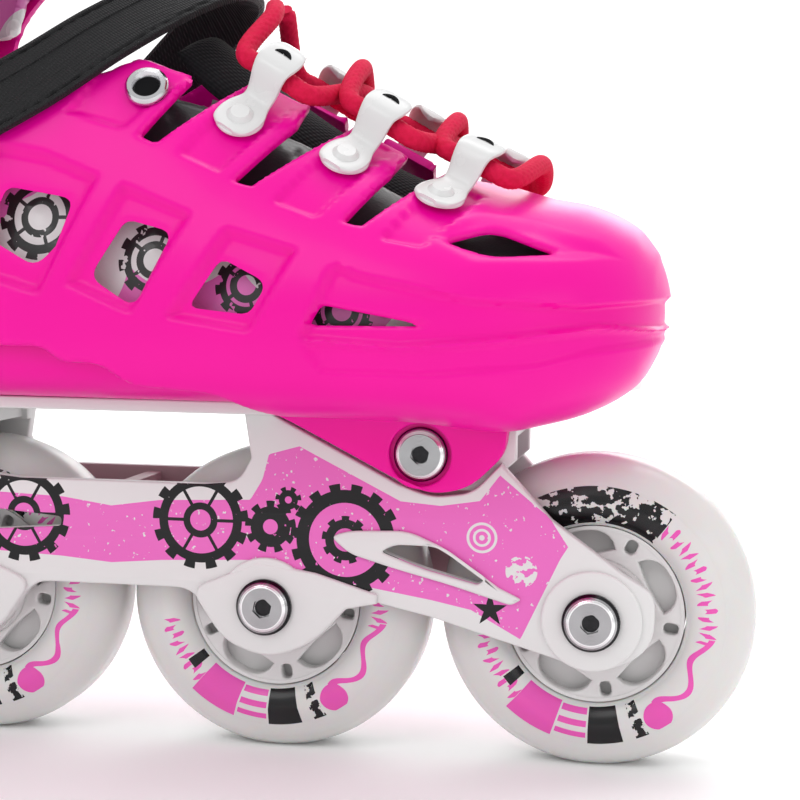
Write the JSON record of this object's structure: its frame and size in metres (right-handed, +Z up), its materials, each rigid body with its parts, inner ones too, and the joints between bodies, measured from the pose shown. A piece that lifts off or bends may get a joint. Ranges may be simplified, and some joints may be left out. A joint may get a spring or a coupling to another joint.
{
  "type": "inline skate",
  "caption": "Child's adjustable inline skate: a sliding toe shell and hinged cuff on a white chassis with wheels in line, lace, straps and a heel brake.",
  "frame": {"origin": "on the ground, at the middle of the whole skate's length and width", "axes": "+X to the toe, +Y to the wearer's inner side (left, on this right skate), +Z up"},
  "size_m": [0.317, 0.0973, 0.2705],
  "materials": {
    "frame_white": "satin-gloss white, moulded, with printed pink and black panels",
    "shell_pink": "hot pink moulded polypropylene, semi-gloss",
    "tyre_urethane": "milky translucent cast urethane with a printed ring",
    "hub_white": "white moulded nylon",
    "bearing_steel": "steel shield",
    "spacer_alloy": "turned",
    "bolt_chrome": "bright zinc or nickel plate",
    "zinc_steel": "plated steel",
    "chrome_ring": "polished",
    "brake_rubber": "matt moulded rubber",
    "trim_black": "moulded black nylon",
    "liner_print": "glossy printed vinyl, white and pink with black cog wheels, over foam",
    "tongue_mesh": "black air-mesh over foam",
    "insole_foam": "fabric-topped foam",
    "lace_crimson": "round braided polyester",
    "hook_white": "white enamelled, glossy",
    "strap_webbing": "black webbing with an olive satin stripe"
  },
  "bodies": {
    "root": {"frame_chassis": "frame_white", "bearing_spacer_1": "spacer_alloy", "bearing_spacer_2": "spacer_alloy", "bearing_spacer_3": "spacer_alloy", "bearing_spacer_4": "spacer_alloy", "axle_sleeve_1": "bolt_chrome", "axle_sleeve_2": "bolt_chrome", "axle_sleeve_3": "bolt_chrome", "axle_sleeve_4": "bolt_chrome", "axle_screw_1": "bolt_chrome", "axle_screw_2": "bolt_chrome", "axle_screw_3": "bolt_chrome", "axle_screw_4": "bolt_chrome", "mount_sleeve_front": "bolt_chrome", "mount_bolt_front": "bolt_chrome", "mount_sleeve_rear": "bolt_chrome", "mount_bolt_rear": "bolt_chrome", "brake_housing": "trim_black", "brake_pad": "brake_rubber", "brake_screw": "zinc_steel", "base_shell": "shell_pink", "liner_foot": "liner_print", "tongue_lower": "tongue_mesh", "insole": "insole_foam", "instep_strap": "strap_webbing"},
    "wheel_1": {"tyre_1": "tyre_urethane", "hub_1": "hub_white", "bearing_1_outer": "bearing_steel", "bearing_1_inner": "bearing_steel"},
    "wheel_2": {"tyre_2": "tyre_urethane", "hub_2": "hub_white", "bearing_2_outer": "bearing_steel", "bearing_2_inner": "bearing_steel"},
    "wheel_3": {"tyre_3": "tyre_urethane", "hub_3": "hub_white", "bearing_3_outer": "bearing_steel", "bearing_3_inner": "bearing_steel"},
    "wheel_4": {"tyre_4": "tyre_urethane", "hub_4": "hub_white", "bearing_4_outer": "bearing_steel", "bearing_4_inner": "bearing_steel"},
    "toe_half": {"toe_shell": "shell_pink", "lace_hook_outer_1": "hook_white", "lace_hook_outer_2": "hook_white", "lace_hook_outer_3": "hook_white", "lace_hook_inner_1": "hook_white", "lace_hook_inner_2": "hook_white", "lace_hook_inner_3": "hook_white", "eyelet_outer": "chrome_ring", "eyelet_inner": "chrome_ring", "lace": "lace_crimson"},
    "cuff_half": {"cuff": "shell_pink", "cuff_rivet_outer": "zinc_steel", "cuff_rivet_inner": "zinc_steel", "liner_collar": "liner_print", "tongue_upper": "tongue_mesh", "ladder_strap": "trim_black", "buckle_base": "trim_black"},
    "lever": {"buckle_lever": "hook_white"},
    "button": {"size_button": "trim_black"}
  },
  "joints": [
    {"name": "wheel_1_spin", "type": "hinge", "parent": "root", "child": "wheel_1", "pos_m": [0.1235, 0, 0.035], "axis": [0, 1, 0], "continuous": true},
    {"name": "wheel_2_spin", "type": "hinge", "parent": "root", "child": "wheel_2", "pos_m": [0.0505, 0, 0.035], "axis": [0, 1, 0], "continuous": true},
    {"name": "wheel_3_spin", "type": "hinge", "parent": "root", "child": "wheel_3", "pos_m": [-0.0225, 0, 0.035], "axis": [0, 1, 0], "continuous": true},
    {"name": "wheel_4_spin", "type": "hinge", "parent": "root", "child": "wheel_4", "pos_m": [-0.0955, 0, 0.035], "axis": [0, 1, 0], "continuous": true},
    {"name": "toe_slide", "type": "slide", "parent": "root", "child": "toe_half", "axis": [1, 0, 0], "range_m": [0, 0.02]},
    {"name": "cuff_tilt", "type": "hinge", "parent": "root", "child": "cuff_half", "pos_m": [-0.06, 0, 0.15], "axis": [0, 1, 0], "range_deg": [-3, 10], "stiffness_Nm_per_rad": 4},
    {"name": "buckle_open", "type": "hinge", "parent": "cuff_half", "child": "lever", "pos_m": [-0.07, -0.0476, 0.206], "axis": [0, 0, -1], "range_deg": [0, 100]},
    {"name": "size_press", "type": "slide", "parent": "root", "child": "button", "axis": [0, 1, 0], "range_m": [0, 0.0025], "stiffness_N_per_m": 400}
  ]
}
